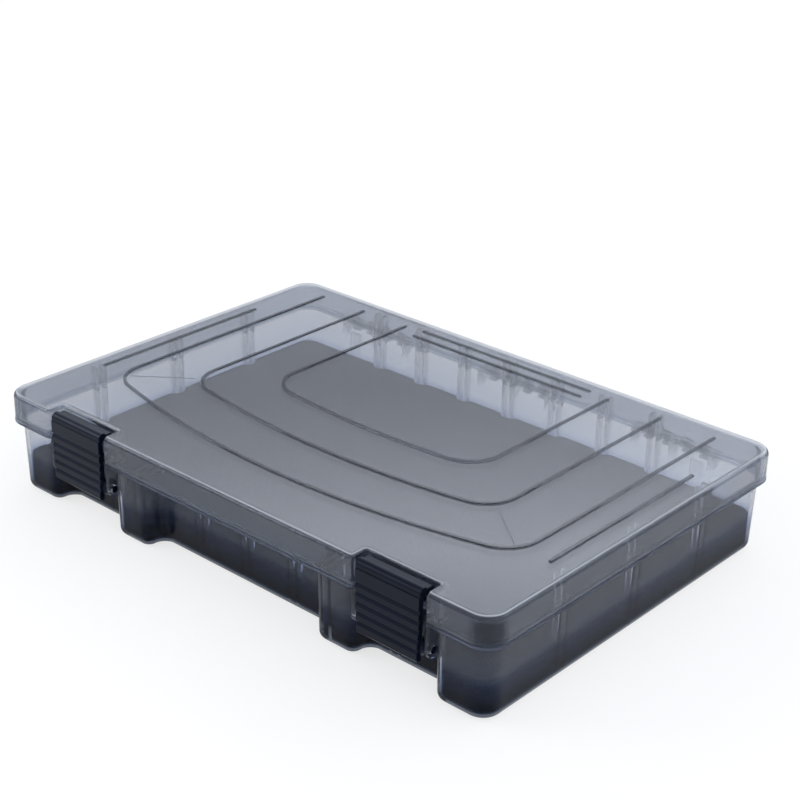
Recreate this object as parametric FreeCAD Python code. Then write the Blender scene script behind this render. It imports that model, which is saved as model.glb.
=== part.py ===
import FreeCAD, Part
import math
import os

# A translucent rig box: a tray and a hinged lid moulded in smoke-grey plastic, two black
# front latches and a foam sheet on the tray's floor.
# Millimetres. X runs along the front, Y from the latches to the hinges, Z up.
# The origin lies on the resting plane, below the middle of the lid.

# Overall size
box_length = 275.0
box_width = 188.1
box_height = 46.7
wall = 1.6

# Lid
lid_corner_radius = 9.9
lid_edge_radius = 2.3
lid_inner_edge_radius = 0.7
skirt_bottom = 34.6
lid_rest_gap = 0.3

# Tray. Its wall leans out from the floor to the flange, measured inwards from the lid's face.
tray_inset_at_floor = 3.5
tray_inset_at_flange = 2.6
tray_corner_radius = 11.9
tray_floor_edge_radius = 4.0

# Flange just under the lid's skirt, and the upright rim inside the skirt
flange_gap = 0.5
flange_thickness = 1.0
flange_proud = 0.15
rim_gap = 0.8
rim_tip_radius = 0.4

# Front recesses of the tray: one behind each latch and a wide one between the pillars
latch_inset_from_end = 48.5
latch_recess_width = 32.0
recess_depth = 9.15
pillar_width = 28.0
pillar_corner_radius = 8.6
recess_inner_radius = 0.5

# Notches of the lid, where the latches hook over a ledge
notch_width = 36.0
notch_depth = 8.3
notch_corner_radius = 1.8
notch_inner_radius = 0.8
ledge_thickness = 1.6
ledge_front_gap = 1.3
ledge_side_overlap = 0.4

# Latch plate with its grip grooves
latch_width = 31.2
latch_bottom_width = 29.6
latch_thickness = 2.4
latch_proud = 0.25
latch_bottom = 15.2
latch_taper_top = 30.0
latch_bar_top = 46.2
latch_bar_bottom = 42.8
latch_bar_setback = 0.4
latch_bar_thickness = 3.6
latch_bar_radius = 2.4
hook_gap = 0.4
hook_tongue_thickness = 2.9
hook_end_gap = 0.85
groove_first = 37.4
groove_pitch = 4.1
groove_count = 5
groove_depth = 0.9
groove_undercut = 0.3
groove_ramp = 1.7
latch_toe_radius = 1.0
latch_web_thickness = 1.4
latch_web_spacing = 10.5
latch_web_depth = 3.0
latch_web_clearance = 1.2

# Latch pivot: stub pins on the latch turn in two cheeks of the tray
pivot_height = 20.5
pivot_behind_plate = 5.1
barrel_radius = 3.3
hub_radius = 3.7
hub_length = 1.9
latch_pin_radius = 1.7
latch_pin_length = 2.0
pin_clearance = 0.05
cheek_thickness = 2.0
cheek_gap = 0.4
cheek_radius = 3.3

# Hinge: a pin between three lugs of the tray, held by the lid's open clips
hinge_height = 31.2
hinge_behind_lid = 1.25
hinge_inset_from_end = 49.5
hinge_pin_radius = 1.6
hinge_station_width = 43.0
lug_thickness = 3.0
lug_radius = 2.9
lug_foot = 24.0
clip_wall = 1.45
clip_width = 3.6
clip_offset_in_bay = 4.6
clip_open_from = 235.0
clip_open_to = 150.0
clip_arm_from = 90.0
clip_arm_to = 120.0
clip_relief = 0.5
buttress_inset_from_end = 36.5
buttress_width = 6.0
buttress_depth = 1.6
buttress_top = 27.4
buttress_foot = 5.0

# Pairs of divider ribs inside the tray
divider_pitch = 27.0
divider_pairs_each_way = 3
side_divider_pitch = 46.3
divider_rib_width = 1.6
divider_slot_width = 2.8
divider_rib_depth = 2.5
divider_top_gap = 0.8

# Raised ribs on the lid
rib_width = 1.4
rib_height = 0.6
arch_count = 3
arch_pitch = 27.35
arch_inset_side = 23.5
arch_inset_front = 27.2
arch_corner_radius = 16.4
arch_bow_radius = 405.0
arch_inset_back = 12.0
side_rib_inset = 11.2
side_rib_length = 94.0
back_rib_inset = 11.0
back_rib_count = 2
back_rib_pitch = 7.2
back_rib_length = 98.0

# Foam sheet on the tray's floor
foam_top = 17.5
foam_gap = 0.4
foam_floor_gap = 0.3

# Places that follow from the sizes above
half_length = box_length / 2
half_width = box_width / 2
lid_top = box_height
lid_underside = lid_top - wall
tray_top = lid_underside - lid_rest_gap
rim_inset = wall + rim_gap
flange_top = skirt_bottom - flange_gap
flange_bottom = flange_top - flange_thickness
latch_x = half_length - latch_inset_from_end
pivot_y = -half_width - latch_proud + pivot_behind_plate
plate_face_y = -half_width - latch_proud
plate_back_y = plate_face_y + latch_thickness
notch_back_y = -half_width + notch_depth
hook_underside = latch_bar_bottom - hook_gap
ledge_top = hook_underside - hook_gap
hinge_y = half_width + hinge_behind_lid
hinge_stations = [hinge_inset_from_end - half_length, 0.0, half_length - hinge_inset_from_end]
divider_width = divider_slot_width + 2 * divider_rib_width
TINY = 0.01
OUTSIDE_RADIUS = 0.1


def vec(x, y, z=0.0):
    return FreeCAD.Vector(x, y, z)


def tray_inset(z):
    """Distance from the lid's outer face to the tray's outer face at height z."""
    share = z / flange_top
    return tray_inset_at_floor + share * (tray_inset_at_flange - tray_inset_at_floor)


def rounded_wire(corners, z):
    """Closed wire at height z through corners (x, y, radius), each corner an arc."""
    starts = []
    mids = []
    ends = []
    count = len(corners)
    for i in range(count):
        x, y, radius = corners[i]
        here = vec(x, y, z)
        before = vec(corners[i - 1][0], corners[i - 1][1], z) - here
        after = vec(corners[(i + 1) % count][0], corners[(i + 1) % count][1], z) - here
        before.normalize()
        after.normalize()
        half_angle = before.getAngle(after) / 2
        reach = radius / math.tan(half_angle)
        bisector = before + after
        bisector.normalize()
        starts.append(here + before * reach)
        mids.append(here + bisector * (radius / math.sin(half_angle) - radius))
        ends.append(here + after * reach)
    edges = []
    for i in range(count):
        edges.append(Part.Arc(starts[i], mids[i], ends[i]).toShape())
        edges.append(Part.makeLine(ends[i], starts[(i + 1) % count]))
    return Part.Wire(edges)


def prism(wire, height):
    return Part.Face(wire).extrude(vec(0, 0, height))


def profile_along_x(wire, x_start, length):
    """Solid of a YZ profile drawn at x = 0, moved to x_start and extruded along X."""
    solid = Part.Face(wire).extrude(vec(length, 0, 0))
    solid.translate(vec(x_start, 0, 0))
    return solid


def polygon_yz(points):
    corners = [vec(0, y, z) for y, z in points]
    return Part.makePolygon(corners + [corners[0]])


def box(x_from, x_to, y_from, y_to, z_from, z_to):
    size = (x_to - x_from, y_to - y_from, z_to - z_from)
    return Part.makeBox(size[0], size[1], size[2], vec(x_from, y_from, z_from))


def cylinder_x(radius, x_from, length, y, z):
    return Part.makeCylinder(radius, length, vec(x_from, y, z), vec(1, 0, 0))


def fuse_all(first, others):
    return first.multiFuse(others).removeSplitter()


def mirrored(shape):
    return shape.mirror(vec(0, 0, 0), vec(1, 0, 0))


def lid_corners(offset, notched, corner_radius=lid_corner_radius):
    """Corners of the lid's outline, moved inwards by offset, with or without the notches."""
    x = half_length - offset
    y = half_width - offset
    radius = corner_radius - offset
    front = []
    if notched:
        inner = latch_x - notch_width / 2 - offset
        outer = latch_x + notch_width / 2 + offset
        back = notch_back_y + offset
        convex = max(notch_corner_radius - offset, rim_tip_radius)
        concave = notch_inner_radius + offset
        right = [(inner, -y, convex), (inner, back, concave), (outer, back, concave), (outer, -y, convex)]
        left = [(-cx, cy, r) for cx, cy, r in reversed(right)]
        front = left + right
    return [(-x, -y, radius)] + front + [(x, -y, radius), (x, y, radius), (-x, y, radius)]


def tray_corners(offset):
    """Corners of the tray's outline with its three front recesses, moved inwards by offset."""
    x = half_length - offset
    y = half_width - offset
    radius = tray_corner_radius - offset
    back = -y + recess_depth
    convex = pillar_corner_radius - offset
    concave = recess_inner_radius + offset
    block = latch_x + latch_recess_width / 2 + offset
    pillar_out = latch_x - latch_recess_width / 2 - offset
    pillar_in = latch_x - latch_recess_width / 2 - pillar_width + offset
    right = [
        (pillar_in, back, concave),
        (pillar_in, -y, convex),
        (pillar_out, -y, convex),
        (pillar_out, back, concave),
        (block, back, concave),
        (block, -y, convex),
    ]
    left = [(-cx, cy, r) for cx, cy, r in reversed(right)]
    return [(-x, -y, radius)] + left + right + [(x, -y, radius), (x, y, radius), (-x, y, radius)]


def drafted_tray(extra, bottom, top):
    """Solid between two heights whose sides follow the leaning tray wall, extra mm inside it."""
    lower = rounded_wire(tray_corners(tray_inset(bottom) + extra), bottom)
    upper = rounded_wire(tray_corners(tray_inset(top) + extra), top)
    return Part.makeLoft([lower, upper], True, True)


def edges_at_height(shape, z):
    found = []
    for edge in shape.Edges:
        bounds = edge.BoundBox
        if abs(bounds.ZMin - z) < TINY and abs(bounds.ZMax - z) < TINY:
            found.append(edge)
    return found


def round_bottom(shape, z, radius):
    return shape.makeFillet(radius, edges_at_height(shape, z))


def tray_outer():
    return round_bottom(drafted_tray(0.0, 0.0, flange_top), 0.0, tray_floor_edge_radius)


def rim_prism(extra, bottom, top):
    """Upright solid that follows the rim inside the lid's skirt, extra mm inside its face."""
    corners = lid_corners(rim_inset + extra, True, tray_corner_radius)
    return prism(rounded_wire(corners, bottom), top - bottom)


def tray_cavity():
    """The hollow below the flange, its narrower neck at the flange and the hollow of the rim."""
    lower = drafted_tray(wall, wall, flange_bottom)
    lower = round_bottom(lower, wall, tray_floor_edge_radius - wall)
    neck = drafted_tray(wall, flange_bottom, flange_top).common(rim_prism(wall, flange_bottom, flange_top))
    return [lower, neck, rim_prism(wall, flange_top, tray_top + wall)]


def rim_flange():
    """Horizontal flange that follows the lid's skirt, notches included."""
    outline = rounded_wire(lid_corners(-flange_proud, True), flange_bottom)
    flange = prism(outline, flange_thickness)
    return flange.cut(clip_reliefs())


def bays():
    """X ranges of the two gaps between the three lugs of each hinge station."""
    ranges = []
    for station in hinge_stations:
        half = hinge_station_width / 2
        ranges.append((station - half + lug_thickness, station - lug_thickness / 2))
        ranges.append((station + lug_thickness / 2, station + half - lug_thickness))
    return ranges


def clip_reliefs():
    """Room in the flange for the clips, which turn about the hinge pin."""
    reach = hinge_pin_radius + pin_clearance + clip_wall + clip_relief
    cuts = []
    for start, end in bays():
        cuts.append(box(start, end, hinge_y - reach, hinge_y + reach, flange_bottom, flange_top))
    return Part.makeCompound(cuts)


def lower_tangent(start_y, start_z, centre_y, centre_z, radius):
    """Point where the lower tangent from a start point touches a circle."""
    distance = math.hypot(centre_y - start_y, centre_z - start_z)
    heading = math.atan2(centre_z - start_z, centre_y - start_y) - math.asin(radius / distance)
    reach = math.sqrt(distance ** 2 - radius ** 2)
    return start_y + reach * math.cos(heading), start_z + reach * math.sin(heading)


def hinge_lug():
    """One lug: its top level with the flange, a round nose and an underside that slopes to the wall."""
    wall_y = half_width - tray_inset(lug_foot) - wall / 2
    touch = lower_tangent(wall_y, lug_foot, hinge_y, hinge_height, lug_radius)
    top = hinge_height + lug_radius
    profile = [(wall_y, lug_foot), touch, (hinge_y, hinge_height), (hinge_y, top), (wall_y, top)]
    block = profile_along_x(polygon_yz(profile), 0.0, lug_thickness)
    return block.fuse(cylinder_x(lug_radius, 0.0, lug_thickness, hinge_y, hinge_height))


def hinge_hardware():
    """Lugs and pins of all hinge stations."""
    pieces = []
    half = hinge_station_width / 2
    for station in hinge_stations:
        for x in (station - half, station - lug_thickness / 2, station + half - lug_thickness):
            lug = hinge_lug()
            lug.translate(vec(x, 0, 0))
            pieces.append(lug)
        pieces.append(cylinder_x(hinge_pin_radius, station - half, 2 * half, hinge_y, hinge_height))
    return pieces


def buttresses():
    """Flat upright ribs on the outside of the rear wall, one near each end."""
    wall_y = half_width - tray_inset(buttress_foot) - wall / 2
    top_y = half_width - tray_inset(buttress_top) + buttress_depth
    profile = polygon_yz([(wall_y, buttress_foot), (top_y, buttress_top - buttress_depth),
                          (top_y, buttress_top), (wall_y, buttress_top)])
    x = half_length - buttress_inset_from_end
    right = profile_along_x(profile, x - buttress_width / 2, buttress_width)
    return [right, mirrored(right)]


def cheek(x_from):
    """Upright plate from the flange and the recess's back wall to a round end about the pivot."""
    front = pivot_y - cheek_radius
    top = flange_bottom + flange_thickness / 2
    back = -half_width + recess_depth + tray_inset(pivot_height) + wall / 2
    profile = polygon_yz([(front, top), (front, pivot_height), (pivot_y, pivot_height - cheek_radius),
                          (back, pivot_height + cheek_radius), (back, top)])
    plate = profile_along_x(profile, x_from, cheek_thickness)
    return plate.fuse(cylinder_x(cheek_radius, x_from, cheek_thickness, pivot_y, pivot_height))


def cheek_starts():
    """X of the near face of each cheek that carries the right latch."""
    reach = latch_bottom_width / 2 + hub_length + cheek_gap
    return [latch_x - reach - cheek_thickness, latch_x + reach]


def cheeks():
    right = [cheek(x) for x in cheek_starts()]
    return right + [mirrored(plate) for plate in right]


def cheek_bores():
    bores = []
    for x in cheek_starts():
        bores.append(cylinder_x(latch_pin_radius + pin_clearance, x, cheek_thickness, pivot_y, pivot_height))
    return Part.makeCompound(bores + [mirrored(bore) for bore in bores])


def rib_offsets():
    """Centres of the two ribs of a pair, measured from the pair's middle."""
    reach = (divider_slot_width + divider_rib_width) / 2
    return (-reach, reach)


def divider_ribs(outer):
    """Rib pairs on the back, front and side walls, trimmed to the tray's outer shape."""
    half = divider_rib_width / 2
    floor_inset = tray_inset(wall) + wall
    back_tip = half_width - floor_inset - divider_rib_depth
    front_tip = -half_width + recess_depth + floor_inset + divider_rib_depth
    side_tip = half_length - floor_inset - divider_rib_depth
    low = wall / 2
    top = tray_top - divider_top_gap
    blocks = []
    for i in range(-divider_pairs_each_way, divider_pairs_each_way + 1):
        for offset in rib_offsets():
            x = i * divider_pitch + offset
            blocks.append(box(x - half, x + half, back_tip, half_width, low, top))
            blocks.append(box(x - half, x + half, -half_width, front_tip, low, flange_top))
    for i in (-1, 0, 1):
        for offset in rib_offsets():
            y = i * side_divider_pitch + offset
            right = box(side_tip, half_length, y - half, y + half, low, top)
            blocks.append(right)
            blocks.append(mirrored(right))
    return [block.common(outer) for block in blocks]


def base_tray():
    outer = tray_outer().fuse(rim_prism(0.0, flange_bottom, tray_top))
    shell = fuse_all(outer, [rim_flange()] + buttresses() + cheeks())
    for hollow in tray_cavity():
        shell = shell.cut(hollow)
    shell = fuse_all(shell, hinge_hardware() + divider_ribs(outer))
    return shell.cut(cheek_bores())


def notch_cutters(growth):
    """Blocks that open the latch notches, grown by a wall when cut from the lid's hollow."""
    half = notch_width / 2 + growth
    back = notch_back_y + growth
    front = -half_width - wall
    radius = notch_inner_radius + growth
    corners = [(latch_x - half, front, OUTSIDE_RADIUS), (latch_x + half, front, OUTSIDE_RADIUS),
               (latch_x + half, back, radius), (latch_x - half, back, radius)]
    right = prism(rounded_wire(corners, skirt_bottom - wall), lid_top - skirt_bottom + 2 * wall)
    return Part.makeCompound([right, mirrored(right)])


def lid_shell():
    outer = prism(rounded_wire(lid_corners(0.0, False), skirt_bottom), lid_top - skirt_bottom)
    outer = outer.makeFillet(lid_edge_radius, edges_at_height(outer, lid_top))
    hollow = prism(rounded_wire(lid_corners(wall, False), skirt_bottom - wall), lid_underside - skirt_bottom + wall)
    hollow = hollow.makeFillet(lid_inner_edge_radius, edges_at_height(hollow, lid_underside))
    shell = outer.cut(notch_cutters(0.0))
    return shell.cut(hollow.cut(notch_cutters(wall)))


def round_notch_corners(shell):
    """Rounds the upright edges where the skirt turns into each notch."""
    targets = []
    for edge in shell.Edges:
        bounds = edge.BoundBox
        upright = bounds.XLength < TINY and bounds.YLength < TINY
        at_front = abs(bounds.YMin + half_width) < TINY
        if upright and at_front:
            targets.append(edge)
    return shell.makeFillet(notch_corner_radius, targets)


def latch_ledges():
    """Ledge across each notch, under the hook of the closed latch."""
    half = notch_width / 2 + ledge_side_overlap
    front = plate_back_y + ledge_front_gap
    right = box(latch_x - half, latch_x + half, front, notch_back_y + wall / 2,
                ledge_top - ledge_thickness, ledge_top)
    return [right, mirrored(right)]


def clip_profile():
    """Open clip around the hinge pin with the arm that joins it to the skirt."""
    inner = hinge_pin_radius + pin_clearance
    outer = inner + clip_wall
    start = math.radians(clip_open_to)
    end = math.radians(clip_open_from - 360.0)
    middle = (start + end) / 2

    def at(radius, angle):
        return vec(0, hinge_y + radius * math.cos(angle), hinge_height + radius * math.sin(angle))

    ring = Part.Wire([
        Part.Arc(at(outer, start), at(outer, middle), at(outer, end)).toShape(),
        Part.makeLine(at(outer, end), at(inner, end)),
        Part.Arc(at(inner, end), at(inner, middle), at(inner, start)).toShape(),
        Part.makeLine(at(inner, start), at(outer, start)),
    ])
    middle_radius = (inner + outer) / 2
    arm_start = math.radians(clip_arm_from)
    arm_end = math.radians(clip_arm_to)
    on_ring = [
        at(outer, start),
        at(middle_radius, start),
        at(middle_radius, arm_end),
        at(middle_radius, arm_start),
        at(outer, arm_start),
    ]
    arm = polygon_yz([(half_width - wall, skirt_bottom + wall)] + [(point.y, point.z) for point in on_ring]
                     + [(half_width, skirt_bottom + wall)])
    return ring, arm


def hinge_clips():
    """Two clips in each bay of the hinge stations."""
    ring, arm = clip_profile()
    clips = []
    for start, end in bays():
        middle = (start + end) / 2
        for x in (middle - clip_offset_in_bay, middle + clip_offset_in_bay):
            left = x - clip_width / 2
            clips.append(profile_along_x(ring, left, clip_width).fuse(profile_along_x(arm, left, clip_width)))
    return clips


def arch_side(leg_x, apex_y, offset):
    """Edges of one side of an arch rib, offset outwards from its centre line."""
    bow = arch_bow_radius + offset
    corner = arch_corner_radius + offset
    bow_centre_y = apex_y + arch_bow_radius
    corner_x = leg_x - arch_corner_radius
    drop = math.sqrt((arch_bow_radius - arch_corner_radius) ** 2 - corner_x ** 2)
    corner_y = bow_centre_y - drop
    heading = math.atan2(-drop, corner_x)
    end_y = half_width - arch_inset_back
    z = lid_top - wall / 2
    join = vec(bow * math.cos(heading), bow_centre_y + bow * math.sin(heading), z)
    bend = vec(corner_x + corner * math.cos(heading / 2), corner_y + corner * math.sin(heading / 2), z)
    leg_foot = vec(leg_x + offset, corner_y, z)
    leg_end = vec(leg_x + offset, end_y, z)
    apex = vec(0, apex_y - offset, z)

    def flip(point):
        return vec(-point.x, point.y, point.z)

    edges = [
        Part.makeLine(leg_end, leg_foot),
        Part.Arc(leg_foot, bend, join).toShape(),
        Part.Arc(join, apex, flip(join)).toShape(),
        Part.Arc(flip(join), flip(bend), flip(leg_foot)).toShape(),
        Part.makeLine(flip(leg_foot), flip(leg_end)),
    ]
    return edges, leg_end, flip(leg_end)


def arch_rib(index):
    leg_x = half_length - arch_inset_side - index * arch_pitch
    apex_y = -half_width + arch_inset_front + index * arch_pitch
    outer, outer_right, outer_left = arch_side(leg_x, apex_y, rib_width / 2)
    inner, inner_right, inner_left = arch_side(leg_x, apex_y, -rib_width / 2)
    caps = [Part.makeLine(outer_left, inner_left), Part.makeLine(inner_right, outer_right)]
    outline = Part.Wire(Part.__sortEdges__(outer + inner + caps))
    return prism(outline, wall / 2 + rib_height)


def straight_ribs():
    bottom = lid_top - wall / 2
    top = lid_top + rib_height
    half = rib_width / 2
    x = half_length - side_rib_inset
    side = box(x - half, x + half, -side_rib_length / 2, side_rib_length / 2, bottom, top)
    ribs = [side, mirrored(side)]
    for i in range(back_rib_count):
        y = half_width - back_rib_inset - i * back_rib_pitch
        ribs.append(box(-back_rib_length / 2, back_rib_length / 2, y - half, y + half, bottom, top))
    return ribs


def lid():
    shell = round_notch_corners(lid_shell())
    arches = [arch_rib(i) for i in range(arch_count)]
    return fuse_all(shell, latch_ledges() + hinge_clips() + arches + straight_ribs())


def grip_points():
    """Front of the latch plate from its smooth band down to the toe, with the grip grooves."""
    face = plate_face_y
    points = [(face, latch_bar_bottom)]
    for i in range(groove_count):
        z = groove_first - i * groove_pitch
        points.append((face, z))
        points.append((face + groove_depth, z - groove_undercut))
        points.append((face, z - groove_undercut - groove_ramp))
    points.append((face, latch_bottom + latch_toe_radius))
    points.append((face + latch_toe_radius, latch_bottom))
    return points


def latch_plate_profile():
    """YZ outline of the latch: plate, rounded top bar and the tongue over the lid's ledge."""
    bar_front = plate_face_y + latch_bar_setback
    bar_back = bar_front + latch_bar_thickness
    tongue_end = notch_back_y - hook_end_gap
    tongue_top = hook_underside + hook_tongue_thickness
    bend = latch_bar_radius * (1 - math.sqrt(0.5))
    low = grip_points()
    back = [
        (plate_back_y - latch_toe_radius / 2, latch_bottom),
        (plate_back_y, latch_bottom + latch_toe_radius / 2),
        (plate_back_y, hook_underside),
        (tongue_end, hook_underside),
        (tongue_end, tongue_top - latch_bar_setback),
        (tongue_end - latch_bar_setback, tongue_top),
        (bar_back, tongue_top),
        (bar_back, latch_bar_top - latch_bar_setback),
        (bar_back - latch_bar_setback, latch_bar_top),
        (bar_front + latch_bar_radius, latch_bar_top),
    ]
    points = [vec(0, y, z) for y, z in low + back]
    arc_end = vec(0, bar_front, latch_bar_top - latch_bar_radius)
    arc_mid = vec(0, bar_front + bend, latch_bar_top - bend)
    edges = [Part.makeLine(a, b) for a, b in zip(points[:-1], points[1:])]
    edges.append(Part.Arc(points[-1], arc_mid, arc_end).toShape())
    edges.append(Part.makeLine(arc_end, vec(0, bar_front, latch_bar_bottom)))
    edges.append(Part.makeLine(vec(0, bar_front, latch_bar_bottom), points[0]))
    return Part.Wire(edges)


def latch_outline():
    """Front view of the latch, extruded along Y: straight above, tapered towards the toe."""
    half = latch_width / 2
    low = latch_bottom_width / 2
    y = plate_face_y - latch_thickness
    points = [vec(x, y, z) for x, z in (
        (latch_x - low, latch_bottom), (latch_x + low, latch_bottom), (latch_x + half, latch_taper_top),
        (latch_x + half, latch_bar_top), (latch_x - half, latch_bar_top), (latch_x - half, latch_taper_top))]
    face = Part.Face(Part.makePolygon(points + [points[0]]))
    return face.extrude(vec(0, recess_depth + 2 * latch_thickness, 0))


def latch_webs():
    """Upright stiffening webs behind the plate, from the barrel to below the lid's ledge."""
    web_top = ledge_top - ledge_thickness - latch_web_clearance
    profile = polygon_yz([
        (plate_back_y - wall / 2, pivot_height),
        (pivot_y + barrel_radius / 2, pivot_height),
        (plate_back_y + latch_web_depth, pivot_height + 2 * barrel_radius),
        (plate_back_y + latch_web_depth, web_top - latch_web_depth),
        (plate_back_y, web_top),
        (plate_back_y - wall / 2, web_top),
    ])
    webs = []
    for i in (-1, 0, 1):
        x = latch_x + i * latch_web_spacing - latch_web_thickness / 2
        webs.append(profile_along_x(profile, x, latch_web_thickness))
    return webs


def latch_pivot():
    """Barrel across the plate's back, a conical hub and a stub pin on each side."""
    half = latch_bottom_width / 2
    pieces = [cylinder_x(barrel_radius, latch_x - half, 2 * half, pivot_y, pivot_height)]
    for side in (-1, 1):
        start = vec(latch_x + side * half, pivot_y, pivot_height)
        outwards = vec(side, 0, 0)
        pieces.append(Part.makeCone(hub_radius, latch_pin_radius, hub_length, start, outwards))
        pin_start = start + outwards * hub_length
        pieces.append(Part.makeCylinder(latch_pin_radius, latch_pin_length, pin_start, outwards))
    return pieces


def latch_right():
    plate = profile_along_x(latch_plate_profile(), latch_x - latch_width / 2, latch_width)
    plate = plate.common(latch_outline())
    return fuse_all(plate, latch_webs() + latch_pivot())


def foam_insert():
    """Foam sheet that fills the floor, notched round the divider ribs."""
    bottom = wall + foam_floor_gap
    sheet = drafted_tray(wall + foam_gap, bottom, foam_top)
    sheet = round_bottom(sheet, bottom, tray_floor_edge_radius - wall)
    half = divider_width / 2 + foam_gap
    reach = tray_inset(wall) + wall + divider_rib_depth + foam_gap
    cuts = []
    for i in range(-divider_pairs_each_way, divider_pairs_each_way + 1):
        x = i * divider_pitch
        cuts.append(box(x - half, x + half, half_width - reach, half_width, 0, box_height))
        cuts.append(box(x - half, x + half, -half_width, -half_width + recess_depth + reach, 0, box_height))
    for i in (-1, 0, 1):
        y = i * side_divider_pitch
        right = box(half_length - reach, half_length, y - half, y + half, 0, box_height)
        cuts.append(right)
        cuts.append(mirrored(right))
    return sheet.cut(Part.makeCompound(cuts))


def main():
    os.makedirs("parts", exist_ok=True)
    right = latch_right()
    nodes = {
        "base_tray": base_tray(),
        "lid": lid(),
        "latch_left": mirrored(right),
        "latch_right": right,
        "foam_insert": foam_insert(),
    }
    for name, shape in nodes.items():
        print(name, "valid", shape.isValid(), "solids", len(shape.Solids), "volume", round(shape.Volume))
        shape.exportStep("parts/" + name + ".step")


main()
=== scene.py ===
import math
import bpy
import bmesh
from mathutils import Matrix, Vector


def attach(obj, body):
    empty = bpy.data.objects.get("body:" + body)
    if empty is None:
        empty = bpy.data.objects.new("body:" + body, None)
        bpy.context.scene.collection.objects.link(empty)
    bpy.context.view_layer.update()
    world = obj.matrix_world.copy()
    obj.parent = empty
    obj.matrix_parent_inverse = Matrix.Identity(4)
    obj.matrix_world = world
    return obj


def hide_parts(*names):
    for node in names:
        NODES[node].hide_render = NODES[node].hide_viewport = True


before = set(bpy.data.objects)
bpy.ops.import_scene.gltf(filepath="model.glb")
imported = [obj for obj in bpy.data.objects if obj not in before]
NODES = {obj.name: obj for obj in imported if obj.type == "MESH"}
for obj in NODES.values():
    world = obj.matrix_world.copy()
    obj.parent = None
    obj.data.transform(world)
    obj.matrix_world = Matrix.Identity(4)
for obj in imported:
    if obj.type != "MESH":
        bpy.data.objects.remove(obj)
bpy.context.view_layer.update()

# The looks of a translucent rig box: smoke-grey tray and lid, black latches and a foam sheet,
# on a pale floor under soft studio light.
# Lengths are in metres unless a name ends in _MM. X runs along the front, Y to the hinges, Z up.

MM = 0.001


def srgb(red, green, blue):
    """Linear colour of a display colour given as 0-255."""
    def linear(value):
        share = value / 255.0
        return share / 12.92 if share <= 0.04045 else ((share + 0.055) / 1.055) ** 2.4
    return linear(red), linear(green), linear(blue)


# Camera, fitted to the photograph. Its angles are in degrees.
CAMERA_MM = (450.057, -497.140, 369.186)
CAMERA_AZIMUTH = 41.4912
CAMERA_ELEVATION = 25.1005
CAMERA_ROLL = 1.0986
CAMERA_LENS_MM = 78.573
SENSOR_WIDTH_MM = 36.0
CLIP_START = 0.01

# Smoke plastic: the grey that it deepens to with thickness, and the colours of its surface
SMOKE = (0.36, 0.36, 0.36, 1.0)
# The next colour is painted shade: a dark blue laid over the lid's front corners and the latch recesses.
PAINTED_SHADE_COLOUR = (0.025, 0.055, 0.125, 1.0)
CLEAR = (0.935, 0.935, 0.95)
COOL = (0.955, 0.955, 0.97)
# The skirt's colour is partly painted shade: it is darker than the top's.
SKIRT = (0.755, 0.79, 0.855)
SKIRT_FOOT = (0.46, 0.48, 0.52)
EDGE_SHADE = (0.34, 0.38, 0.46)
# The next colour is painted shade on the crests of the lid's raised ribs.
RIB_CREST_SHADE = (0.09, 0.10, 0.12)
FLANGE = (0.44, 0.48, 0.56)

# Faint flow marks of the smoke plastic, and how far its roughness strays below and above the given one
FLOW_TONES = [(0.35, (0.94, 0.94, 0.94)), (0.65, (1.0, 1.0, 1.0))]
ROUGH_DIP = 0.01
ROUGH_RISE = 0.02

# Colour of the lid at shares of its height: skirt, rolled edge, top and rib crests.
# The dark rib crests, the edge shade band and the skirt's darker tone are painted shade.
LID_TONES = [
    (0.335, SKIRT_FOOT),
    (0.36, SKIRT),
    (0.87, SKIRT),
    (0.89, EDGE_SHADE),
    (0.925, EDGE_SHADE),
    (0.945, CLEAR),
    (0.972, CLEAR),
    (0.982, RIB_CREST_SHADE),
]

# Haze of the lid at shares of its height. It is strongest in a line along the rolled edge, which is a
# painted highlight.
LID_HAZE_AND_HIGHLIGHT = [
    (0.90, 0.035),
    (0.948, 0.02),
    (0.955, 0.36),
    (0.963, 0.36),
    (0.968, 0.05),
]

# Colour of the tray at shares of its height: foot, wall beside the foam, clear wall, flange and rim.
# The darkening toward the foot is painted shade.
TRAY_TONES = [
    (0.04, (0.02, 0.028, 0.045)),
    (0.10, (0.13, 0.17, 0.27)),
    (0.34, (0.44, 0.51, 0.70)),
    (0.42, (0.82, 0.86, 0.95)),
    (0.725, COOL),
    (0.738, FLANGE),
    (0.762, FLANGE),
    (0.775, COOL),
]

# Haze of the tray at shares of its height
TRAY_HAZES = [
    (0.08, 0.015),
    (0.30, 0.025),
    (0.42, 0.035),
    (0.62, 0.035),
    (0.78, 0.025),
]

# Places on the lid and tray that get painted shade, and places with a more matt finish, in metres or
# shares of the height.
# CORNER_REACH is how far out a front corner lies, as |x| - y. MATT_ROUGHNESS is how rough the matt
# places are.
CORNER_REACH = (0.2204, 0.2242)
SKIRT_TOP = (0.82, 0.87)
BAY_SIDES = (0.0735, 0.1065)
BAY_SIDES_SOFT = 0.0005
BAY_FRONT = (-0.087, -0.085)
SKIRT_FOOT_BAND = (0.30, 0.352)
SKIRT_FOOT_SOFT = 0.004
FLANGE_BAND = (0.735, 0.765)
FLANGE_SOFT = 0.003
MATT_ROUGHNESS = 0.4

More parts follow.
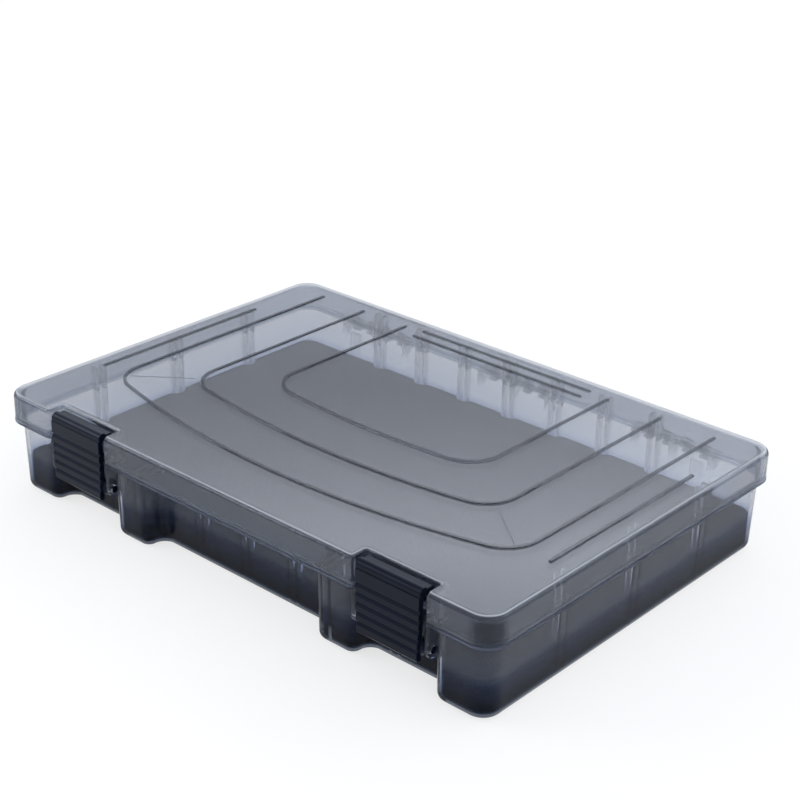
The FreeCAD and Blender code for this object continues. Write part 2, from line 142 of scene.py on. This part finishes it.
# Latches, foam and creases. The tones are display colours at steps of a noise or of the foam's cells,
# and CELL_SHARE is how much the cells count in the foam's colour.
LATCH_TONES = [(0.3, srgb(6, 11, 21)), (0.7, srgb(10, 16, 29))]
LATCH_SHEEN = (0.80, 0.88, 1.0, 1.0)
LATCH_EDGE = 0.35 * MM
CELL_SHARE = 0.35
FOAM_TONES = [(0.3, srgb(14, 18, 30)), (0.7, srgb(22, 27, 41))]
CELL_TONES = [(0.0, srgb(10, 14, 24)), (0.6, srgb(33, 39, 55))]
CREASE_TONES = [(0.3, srgb(96, 102, 112)), (0.7, srgb(112, 118, 128))]

# Foam sheet
FOAM_VOXEL = 1.6 * MM
FOAM_SMOOTHING = 0.5
FOAM_SMOOTH_STEPS = 2

# Crease on the right side of the lid, which the left one mirrors
CREASE_START_MM = (86.9, -28.4)
CREASE_END_MM = (109.5, -46.3)
CREASE_RADIUS = 0.16 * MM
LID_TOP = 46.7 * MM

# Floor
FLOOR_REACH = 40.0
FLOOR_BOUNCE = (0.66, 0.74, 0.92, 1.0)
FLOOR_SHADE = (1.0, 0.96, 0.90, 1.0)
FLOOR_WHITE_SHARE = 0.7

# Lamp near the front left
LAMP_PLACE = (-0.60, -0.50, 0.42)
LAMP_TARGET = (-0.05, -0.05, 0.02)
LAMP_SIZE = (0.45, 0.35)
LAMP_POWER = 2.1
LAMP_COLOUR = (0.88, 0.94, 1.0)

# Sky. Its levels go by height, which is the sine of the elevation: height, level and tint.
SKY_GROUND = (0.98, 0.99, 1.0)
SKY_PALE = (0.82, 0.90, 1.08)
SKY_COOL = (0.835, 0.89, 1.0)
SKY_LEVELS = [
    (0.0, 0.50, SKY_GROUND),
    (0.10, 0.42, SKY_PALE),
    (0.38, 0.70, SKY_COOL),
    (0.42, 0.72, SKY_COOL),
    (0.455, 1.15, SKY_COOL),
    (0.48, 1.62, SKY_COOL),
    (0.50, 2.05, SKY_COOL),
    (0.56, 1.4, SKY_COOL),
    (0.64, 0.45, SKY_PALE),
    (1.0, 0.28, SKY_PALE),
]
SKY_BRIGHT_SIDE = (0.749, 0.662, 0.0)
SKY_STRENGTH = 1.95


def set_stops(color_ramp, stops):
    """Gives a colour ramp its stops, each a place and a colour of three numbers."""
    elements = color_ramp.elements
    while len(elements) < len(stops):
        elements.new(0.5)
    for element, (place, colour) in zip(elements, stops):
        element.position = place
        element.color = (*colour, 1.0)


def add_to_scene(thing):
    bpy.context.scene.collection.objects.link(thing)


# Sockets of a Mix node that blends colours
MIX_SHARE = 0
MIX_FIRST = 6
MIX_SECOND = 7
MIX_RESULT = 2


# Node trees
class Tree:
    """Small helper that builds a material's node tree."""

    def __init__(self, name):
        self.material = bpy.data.materials.new(name)
        self.material.use_nodes = True
        self.nodes = self.material.node_tree.nodes
        self.links = self.material.node_tree.links
        self.nodes.clear()
        self.out = self.nodes.new("ShaderNodeOutputMaterial")

    def node(self, kind, **settings):
        made = self.nodes.new(kind)
        for key, value in settings.items():
            setattr(made, key, value)
        return made

    def link(self, source, target):
        self.links.new(source, target)

    def surface(self, source):
        self.link(source, self.out.inputs["Surface"])

    def shader(self, **values):
        """The surface's Principled shader, with plain values on its own sockets."""
        made = self.node("ShaderNodeBsdfPrincipled")
        for key, value in values.items():
            made.inputs[key.replace("_", " ")].default_value = value
        self.surface(made.outputs[0])
        return made

    def coords(self):
        return self.node("ShaderNodeTexCoord").outputs["Object"]

    def height(self):
        """Share of the piece's own height, 0 at its foot and 1 at its top."""
        split = self.node("ShaderNodeSeparateXYZ")
        self.link(self.node("ShaderNodeTexCoord").outputs["Generated"], split.inputs[0])
        return split.outputs["Z"]

    def sides(self):
        """Distance from the box's middle plane and place along its depth, in metres: |x| and y."""
        split = self.node("ShaderNodeSeparateXYZ")
        self.link(self.coords(), split.inputs[0])
        across = self.node("ShaderNodeMath", operation="ABSOLUTE")
        self.link(split.outputs["X"], across.inputs[0])
        return across.outputs[0], split.outputs["Y"]

    def maths(self, operation, first, second):
        made = self.node("ShaderNodeMath", operation=operation)
        for socket, value in zip(made.inputs, (first, second)):
            if isinstance(value, float):
                socket.default_value = value
            else:
                self.link(value, socket)
        return made.outputs[0]

    def span(self, value, low, high, start=0.0, end=1.0):
        """Runs from low at start to high at end, and stays level beyond them."""
        made = self.node("ShaderNodeMapRange")
        made.inputs["From Min"].default_value = start
        made.inputs["From Max"].default_value = end
        made.inputs["To Min"].default_value = low
        made.inputs["To Max"].default_value = high
        self.link(value, made.inputs["Value"])
        return made.outputs["Result"]

    def between(self, value, limits, soft):
        """1 between the limits, fading to 0 over soft beyond them."""
        low, high = limits
        rise = self.span(value, 0.0, 1.0, low - soft, low)
        fall = self.span(value, 1.0, 0.0, high, high + soft)
        return self.maths("MULTIPLY", rise, fall)

    def mix(self, first, second, share, blend_type="MIX"):
        """Blends two colours. The second may be plain numbers, and so may the share."""
        made = self.node("ShaderNodeMix", data_type="RGBA", blend_type=blend_type)
        if isinstance(share, float):
            made.inputs[MIX_SHARE].default_value = share
        else:
            self.link(share, made.inputs[MIX_SHARE])
        self.link(first, made.inputs[MIX_FIRST])
        if isinstance(second, tuple):
            made.inputs[MIX_SECOND].default_value = second
        else:
            self.link(second, made.inputs[MIX_SECOND])
        return made.outputs[MIX_RESULT]

    def noise(self, scale, detail=2.0, rough=0.5):
        made = self.node("ShaderNodeTexNoise")
        made.inputs["Scale"].default_value = scale
        made.inputs["Detail"].default_value = detail
        made.inputs["Roughness"].default_value = rough
        self.link(self.coords(), made.inputs["Vector"])
        return made.outputs["Fac"]

    def cells(self, scale):
        made = self.node("ShaderNodeTexVoronoi")
        made.inputs["Scale"].default_value = scale
        self.link(self.coords(), made.inputs["Vector"])
        return made.outputs["Distance"]

    def ramp(self, value, stops):
        made = self.node("ShaderNodeValToRGB")
        set_stops(made.color_ramp, stops)
        self.link(value, made.inputs["Fac"])
        return made.outputs["Color"]

    def bump(self, height, strength, distance, normal=None):
        made = self.node("ShaderNodeBump")
        made.inputs["Strength"].default_value = strength
        made.inputs["Distance"].default_value = distance
        self.link(height, made.inputs["Height"])
        if normal is not None:
            self.link(normal, made.inputs["Normal"])
        return made.outputs["Normal"]

    def edge_normal(self, radius):
        """Normal that rounds the piece's edges by a small radius."""
        made = self.node("ShaderNodeBevel")
        made.samples = 4
        made.inputs["Radius"].default_value = radius
        return made.outputs["Normal"]


# Zones of the smoke plastic, for painted shade and a matt finish
def latch_bays(tree, height):
    """1 on the walls and cheeks of the two latch recesses, at any height."""
    across, along = tree.sides()
    bay = tree.between(across, BAY_SIDES, BAY_SIDES_SOFT)
    return tree.maths("MULTIPLY", bay, tree.span(along, 1.0, 0.0, *BAY_FRONT))


def lid_shade_zone(tree, height):
    """Where the lid gets painted shade: 1 on the skirt's rounded front corners and in the latch bays,
    below the rolled top edge.
    """
    across, along = tree.sides()
    reach = tree.maths("SUBTRACT", across, along)
    corner = tree.span(reach, 0.0, 1.0, *CORNER_REACH)
    front = tree.maths("MAXIMUM", corner, latch_bays(tree, height))
    return tree.maths("MULTIPLY", front, tree.span(height, 1.0, 0.0, *SKIRT_TOP))


def lid_matt(tree, height):
    """1 on the lower edge of the lid's skirt."""
    return tree.between(height, SKIRT_FOOT_BAND, SKIRT_FOOT_SOFT)


def tray_matt(tree, height):
    """1 on the walls behind the latches and on the flange."""
    flange = tree.between(height, FLANGE_BAND, FLANGE_SOFT)
    return tree.maths("MAXIMUM", latch_bays(tree, height), flange)


# Materials
def smoke_plastic(name, tones, hazes_and_highlight, density, rough, ior, coat, painted_shade_zone, painted_shade_share, matt_zone):
    """Translucent smoke-grey moulding that darkens with thickness, with painted shade over some zones.
    tones and the haze list give its colour and haze at shares of its height. Some tones are painted
    shade, and the lid's haze list holds a painted highlight line along the rolled edge."""
    tree = Tree(name)
    shader = tree.shader(
        IOR=ior,
        Subsurface_Weight=1.0,
        Subsurface_Radius=(1.0, 1.0, 1.0),
        Subsurface_Scale=3.0 * MM,
        Coat_Weight=coat,
        Coat_Roughness=0.06,
        Coat_IOR=1.5,
    )
    height = tree.height()
    flow = tree.ramp(tree.noise(scale=11.0, detail=3.0, rough=0.55), FLOW_TONES)
    # Painted shade: a dark blue mixed into the colour over the front corners and the latch recesses.
    painted_shade = tree.maths("MULTIPLY", painted_shade_zone(tree, height), painted_shade_share)
    tone = tree.mix(tree.ramp(height, tones), PAINTED_SHADE_COLOUR, painted_shade)
    tree.link(tree.mix(flow, tone, 1.0, "MULTIPLY"), shader.inputs["Base Color"])
    speckle = tree.noise(scale=60.0, detail=4.0, rough=0.6)
    gloss = tree.span(speckle, low=rough - ROUGH_DIP, high=rough + ROUGH_RISE)
    matt = tree.maths("MULTIPLY", matt_zone(tree, height), MATT_ROUGHNESS)
    tree.link(tree.maths("MAXIMUM", gloss, matt), shader.inputs["Roughness"])
    waves = tree.noise(scale=18.0, detail=1.0, rough=0.4)
    tree.link(tree.bump(waves, strength=0.04, distance=1.0 * MM), shader.inputs["Normal"])
    # For the lid, the haze list also holds a painted highlight line along the rolled edge.
    clear = tree.ramp(height, [(place, (1.0 - haze_and_highlight,) * 3) for place, haze_and_highlight in hazes_and_highlight])
    tree.link(clear, shader.inputs["Transmission Weight"])
    body = tree.node("ShaderNodeVolumeAbsorption")
    body.inputs["Color"].default_value = SMOKE
    body.inputs["Density"].default_value = density
    tree.link(body.outputs[0], tree.out.inputs["Volume"])
    return tree.material


def black_plastic(name):
    """Satin black moulding with a fine spark-eroded texture and softened edges."""
    tree = Tree(name)
    shader = tree.shader(IOR=1.5, Specular_IOR_Level=0.15, Specular_Tint=LATCH_SHEEN)
    tone = tree.ramp(tree.noise(scale=60.0, detail=4.0, rough=0.6), LATCH_TONES)
    tree.link(tone, shader.inputs["Base Color"])
    speckle = tree.noise(scale=240.0, detail=3.0, rough=0.6)
    tree.link(tree.span(speckle, low=0.24, high=0.36), shader.inputs["Roughness"])
    edges = tree.edge_normal(LATCH_EDGE)
    grain = tree.noise(scale=3800.0, detail=2.0, rough=0.6)
    texture = tree.bump(grain, strength=0.16, distance=0.2 * MM, normal=edges)
    tree.link(texture, shader.inputs["Normal"])
    return tree.material


def foam_material(name):
    """Dark closed-cell foam: fine cells, a soft matt surface and slight tone changes."""
    tree = Tree(name)
    shader = tree.shader(Roughness=0.95, Specular_IOR_Level=0.2)
    cells = tree.cells(scale=900.0)
    patches = tree.ramp(tree.noise(scale=28.0, detail=4.0, rough=0.6), FOAM_TONES)
    tone = tree.mix(patches, tree.ramp(cells, CELL_TONES), CELL_SHARE)
    tree.link(tone, shader.inputs["Base Color"])
    tree.link(tree.bump(cells, strength=0.35, distance=0.3 * MM), shader.inputs["Normal"])
    return tree.material


def crease_material(name):
    """Grey, partly clear line where the lid's plastic is creased."""
    tree = Tree(name)
    shader = tree.shader(Roughness=0.4, Alpha=0.6)
    tone = tree.ramp(tree.noise(scale=80.0), CREASE_TONES)
    tree.link(tone, shader.inputs["Base Color"])
    return tree.material


def floor_material(name):
    """Bluish to the light that it throws back. Where it is seen, it is nearly white with soft shadows."""
    tree = Tree(name)
    bounce = tree.node("ShaderNodeBsdfDiffuse")
    bounce.inputs["Color"].default_value = FLOOR_BOUNCE
    shade = tree.node("ShaderNodeBsdfDiffuse")
    shade.inputs["Color"].default_value = FLOOR_SHADE
    glow = tree.node("ShaderNodeEmission")
    glow.inputs["Color"].default_value = (1.0, 1.0, 1.0, 1.0)
    glow.inputs["Strength"].default_value = 1.0
    white = tree.node("ShaderNodeMixShader")
    white.inputs[0].default_value = FLOOR_WHITE_SHARE
    tree.link(shade.outputs[0], white.inputs[1])
    tree.link(glow.outputs[0], white.inputs[2])
    path = tree.node("ShaderNodeLightPath").outputs
    direct = tree.maths("MAXIMUM", path["Is Camera Ray"], path["Is Glossy Ray"])
    seen = tree.maths("MAXIMUM", direct, path["Is Transmission Ray"])
    pick = tree.node("ShaderNodeMixShader")
    tree.link(seen, pick.inputs[0])
    tree.link(bounce.outputs[0], pick.inputs[1])
    tree.link(white.outputs[0], pick.inputs[2])
    tree.surface(pick.outputs[0])
    return tree.material


# Lid, tray and latches
def dress(node, material):
    for slot in NODES[node].material_slots:
        slot.material = material


def dress_mouldings():
    """The finish of the pieces whose shapes stay as they are in the frame."""
    lid_plastic = smoke_plastic(
        "lid_plastic",
        tones=LID_TONES,
        hazes_and_highlight=LID_HAZE_AND_HIGHLIGHT,
        density=150.0,
        rough=0.03,
        ior=1.08,
        coat=0.50,
        painted_shade_zone=lid_shade_zone,
        painted_shade_share=0.70,
        matt_zone=lid_matt,
    )
    tray_plastic = smoke_plastic(
        "tray_plastic",
        tones=TRAY_TONES,
        hazes_and_highlight=TRAY_HAZES,
        density=155.0,
        rough=0.05,
        ior=1.18,
        coat=0.0,
        painted_shade_zone=latch_bays,
        painted_shade_share=0.85,
        matt_zone=tray_matt,
    )
    latch_plastic = black_plastic("latch_plastic")
    dress("lid", lid_plastic)
    dress("base_tray", tray_plastic)
    dress("latch_left", latch_plastic)
    dress("latch_right", latch_plastic)


# Foam sheet
def make_foam():
    """The foam sheet, made from the solid one with a remesh and smoothing that soften its cut edges."""
    node = NODES["foam_insert"]
    foam = bpy.data.objects.new("foam_sheet", node.data.copy())
    add_to_scene(foam)
    foam.matrix_world = node.matrix_world
    remesh = foam.modifiers.new("cells", "REMESH")
    remesh.mode = "VOXEL"
    remesh.voxel_size = FOAM_VOXEL
    smooth = foam.modifiers.new("soft", "SMOOTH")
    smooth.factor = FOAM_SMOOTHING
    smooth.iterations = FOAM_SMOOTH_STEPS
    bpy.context.view_layer.update()
    depsgraph = bpy.context.evaluated_depsgraph_get()
    done = bpy.data.meshes.new_from_object(foam.evaluated_get(depsgraph))
    foam.modifiers.clear()
    foam.data = done
    for poly in done.polygons:
        poly.use_smooth = True
    done.materials.clear()
    done.materials.append(foam_material("foam"))
    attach(foam, "tray")
    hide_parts("foam_insert")


# Creases on the lid
def make_crease(name, side, material):
    """A thin crease on the lid, between the corners of two raised ribs. side is 1 or -1."""
    curve = bpy.data.curves.new(name, "CURVE")
    curve.dimensions = "3D"
    curve.bevel_depth = CREASE_RADIUS
    curve.bevel_resolution = 2
    spline = curve.splines.new("POLY")
    spline.points.add(1)
    for point, (x, y) in zip(spline.points, (CREASE_START_MM, CREASE_END_MM)):
        point.co = (side * x * MM, y * MM, LID_TOP, 1.0)
    line = bpy.data.objects.new(name, curve)
    add_to_scene(line)
    curve.materials.append(material)
    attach(line, "lid")


def make_creases():
    material = crease_material("crease")
    make_crease("crease_right", 1, material)
    make_crease("crease_left", -1, material)


# Floor, light and camera
def make_floor():
    mesh = bpy.data.meshes.new("floor")
    bm = bmesh.new()
    bmesh.ops.create_grid(bm, x_segments=1, y_segments=1, size=FLOOR_REACH)
    bm.to_mesh(mesh)
    bm.free()
    floor = bpy.data.objects.new("floor", mesh)
    add_to_scene(floor)
    mesh.materials.append(floor_material("floor"))


def make_world():
    """Soft studio light, brightest in a band about 30 degrees up, and stronger at one side."""
    world = bpy.data.worlds.new("studio")
    bpy.context.scene.world = world
    world.use_nodes = True
    nodes = world.node_tree.nodes
    links = world.node_tree.links
    nodes.clear()
    out = nodes.new("ShaderNodeOutputWorld")
    sky = nodes.new("ShaderNodeBackground")
    direction = nodes.new("ShaderNodeTexCoord").outputs["Generated"]
    split = nodes.new("ShaderNodeSeparateXYZ")
    levels = nodes.new("ShaderNodeValToRGB")
    stops = [(height, [level * share for share in tint]) for height, level, tint in SKY_LEVELS]
    set_stops(levels.color_ramp, stops)
    side = nodes.new("ShaderNodeVectorMath")
    side.operation = "DOT_PRODUCT"
    side.inputs[1].default_value = SKY_BRIGHT_SIDE
    strength = nodes.new("ShaderNodeMath")
    strength.operation = "ADD"
    strength.inputs[1].default_value = SKY_STRENGTH
    links.new(direction, side.inputs[0])
    links.new(side.outputs["Value"], strength.inputs[0])
    links.new(strength.outputs[0], sky.inputs["Strength"])
    links.new(direction, split.inputs[0])
    links.new(split.outputs["Z"], levels.inputs["Fac"])
    links.new(levels.outputs["Color"], sky.inputs["Color"])
    links.new(sky.outputs[0], out.inputs["Surface"])


def make_lamp():
    data = bpy.data.lights.new("front_left", "AREA")
    data.shape = "RECTANGLE"
    data.size, data.size_y = LAMP_SIZE
    data.energy = LAMP_POWER
    data.color = LAMP_COLOUR
    lamp = bpy.data.objects.new("front_left", data)
    add_to_scene(lamp)
    lamp.location = LAMP_PLACE
    aim = Vector(LAMP_TARGET) - Vector(LAMP_PLACE)
    lamp.rotation_euler = aim.to_track_quat("-Z", "Y").to_euler()


def make_camera():
    azimuth = math.radians(CAMERA_AZIMUTH)
    elevation = math.radians(CAMERA_ELEVATION)
    roll = math.radians(CAMERA_ROLL)
    level = math.cos(elevation)
    back = Vector((math.sin(azimuth) * level, -math.cos(azimuth) * level, math.sin(elevation)))
    right = Vector((0, 0, 1)).cross(back).normalized()
    up = back.cross(right)
    rolled_right = right * math.cos(roll) + up * math.sin(roll)
    rolled_up = up * math.cos(roll) - right * math.sin(roll)
    data = bpy.data.cameras.new("camera")
    data.sensor_width = SENSOR_WIDTH_MM
    data.lens = CAMERA_LENS_MM
    data.clip_start = CLIP_START
    camera = bpy.data.objects.new("camera", data)
    add_to_scene(camera)
    turn = Matrix((rolled_right, rolled_up, back)).transposed()
    camera.matrix_world = Matrix.Translation(Vector(CAMERA_MM) * MM) @ turn.to_4x4()
    bpy.context.scene.camera = camera


dress_mouldings()
make_foam()
make_creases()
make_floor()
make_world()
make_lamp()
make_camera()
bpy.context.scene.view_settings.view_transform = "Standard"
